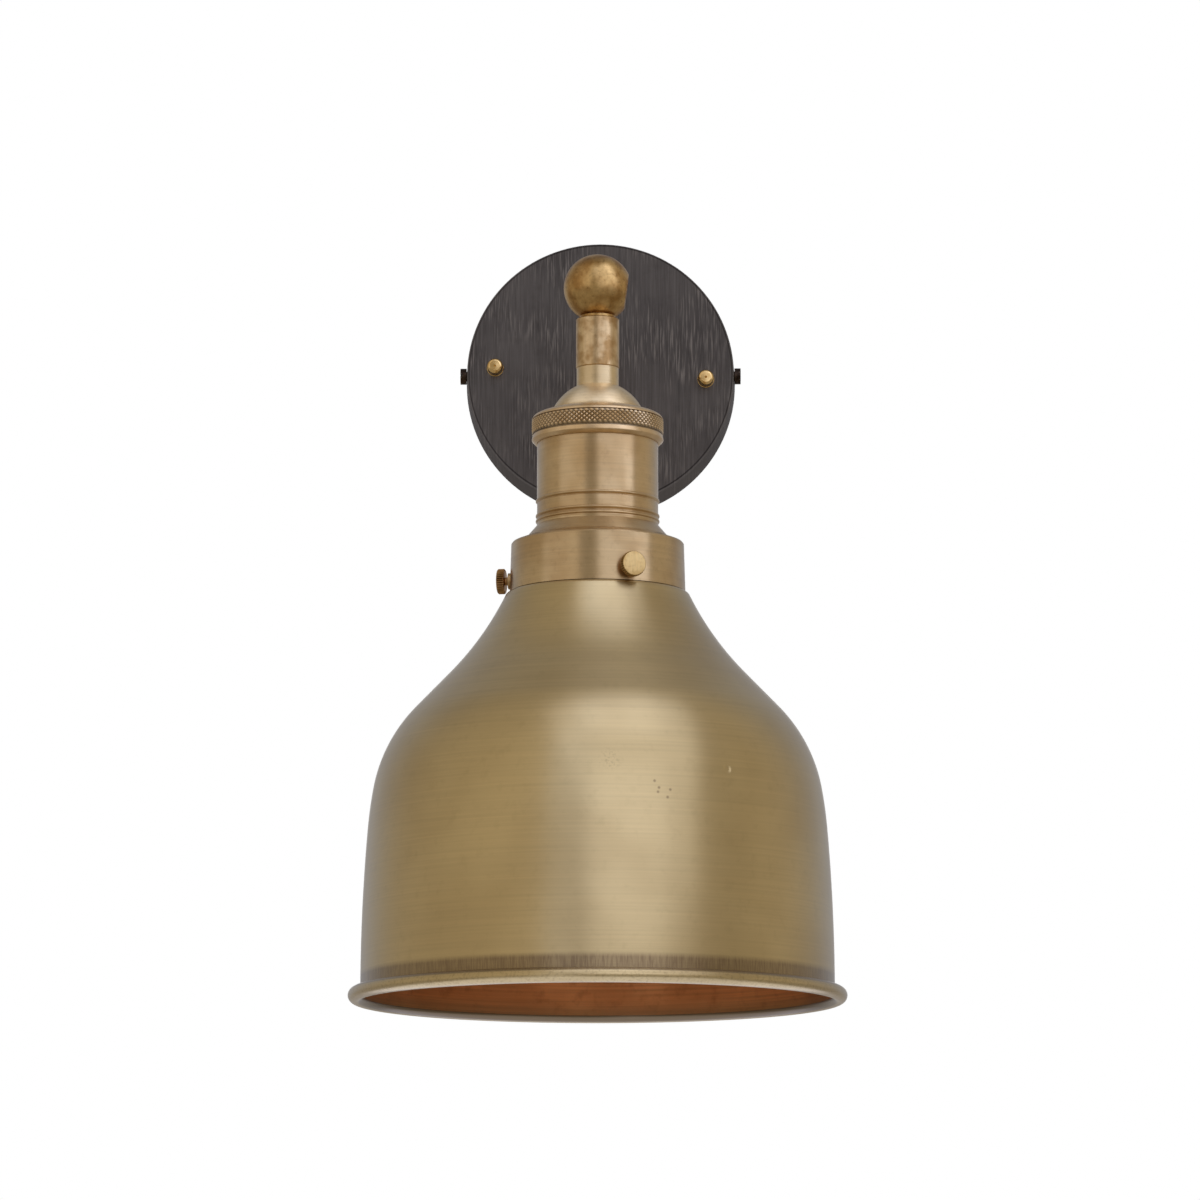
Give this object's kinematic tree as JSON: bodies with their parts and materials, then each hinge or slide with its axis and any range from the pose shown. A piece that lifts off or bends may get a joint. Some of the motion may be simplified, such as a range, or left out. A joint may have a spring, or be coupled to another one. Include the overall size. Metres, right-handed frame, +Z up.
{
  "type": "wall light",
  "caption": "Wall light with a bell shaped brass shade that tilts on a ball, a knurled lamp holder with a threaded socket, and a round dark wall plate.",
  "frame": {"origin": "on the wall, at the middle of the strap's back face", "axes": "+Y runs into the wall, +Z is up, +X is to the right for someone who faces the wall; the lamp hangs on the -Y side"},
  "size_m": [0.18, 0.265, 0.318],
  "materials": {
    "plate_steel": "brushed and blackened",
    "zinc_steel": "zinc plated, satin",
    "dark_screw": "blackened, worn",
    "polished_brass": "polished",
    "aged_brass": "mottled, aged",
    "holder_brass": "brushed, lightly aged",
    "shade_brass": "brushed outside, copper brown inside",
    "plain_brass": "bright turned",
    "porcelain": "white, thinly glazed",
    "terminal_nylon": "matte",
    "fibre": "matte",
    "brown_core": "satin",
    "blue_core": "satin",
    "earth_core": "satin"
  },
  "bodies": {
    "wall_bracket": {"wall_strap": "zinc_steel", "earth_screw": "plain_brass", "wall_plate": "plate_steel", "side_screws": "dark_screw", "inner_bridge": "zinc_steel", "bridge_screws": "zinc_steel", "cap_nuts": "polished_brass", "terminal_block": "terminal_nylon", "terminal_barrels": "plain_brass", "terminal_screws": "zinc_steel", "block_screw": "zinc_steel", "arm_nipple": "plain_brass", "arm_washer": "zinc_steel", "arm_nut": "plain_brass", "arm_tube": "aged_brass", "knuckle_eye": "aged_brass", "live_lead": "brown_core", "neutral_lead": "blue_core", "earth_lead": "earth_core"},
    "lamp_head": {"swivel_ball": "aged_brass", "pivot_screw": "aged_brass", "friction_washers": "fibre", "neck_nipple": "plain_brass", "neck_nut": "plain_brass", "neck_tube": "aged_brass", "holder_cap": "holder_brass", "cap_earth_screw": "plain_brass", "knurled_ring": "holder_brass", "holder_body": "holder_brass", "shade_carrier": "holder_brass", "clamp_ring": "holder_brass", "socket_core": "porcelain", "socket_shell": "plain_brass", "centre_contact": "plain_brass", "terminal_posts": "plain_brass", "post_screws": "zinc_steel", "floor_screws": "zinc_steel", "live_tail": "brown_core", "neutral_tail": "blue_core", "earth_tail": "earth_core", "shade": "shade_brass"},
    "thumbscrew_front": {"thumbscrew_front": "holder_brass"},
    "thumbscrew_left": {"thumbscrew_left": "holder_brass"},
    "thumbscrew_back": {"thumbscrew_back": "holder_brass"}
  },
  "joints": [
    {"name": "head_tilt", "type": "hinge", "parent": "wall_bracket", "child": "lamp_head", "pos_m": [0, -0.175, 0], "axis": [-1, 0, 0], "range_deg": [-10, 70]},
    {"name": "screw_front", "type": "slide", "parent": "lamp_head", "child": "thumbscrew_front", "axis": [0.3649, -0.9311, 0], "range_m": [0, 0.002]},
    {"name": "screw_left", "type": "slide", "parent": "lamp_head", "child": "thumbscrew_left", "axis": [-0.9888, 0.1495, 0], "range_m": [0, 0.002]},
    {"name": "screw_back", "type": "slide", "parent": "lamp_head", "child": "thumbscrew_back", "axis": [0.6239, 0.7815, 0], "range_m": [0, 0.002]}
  ]
}
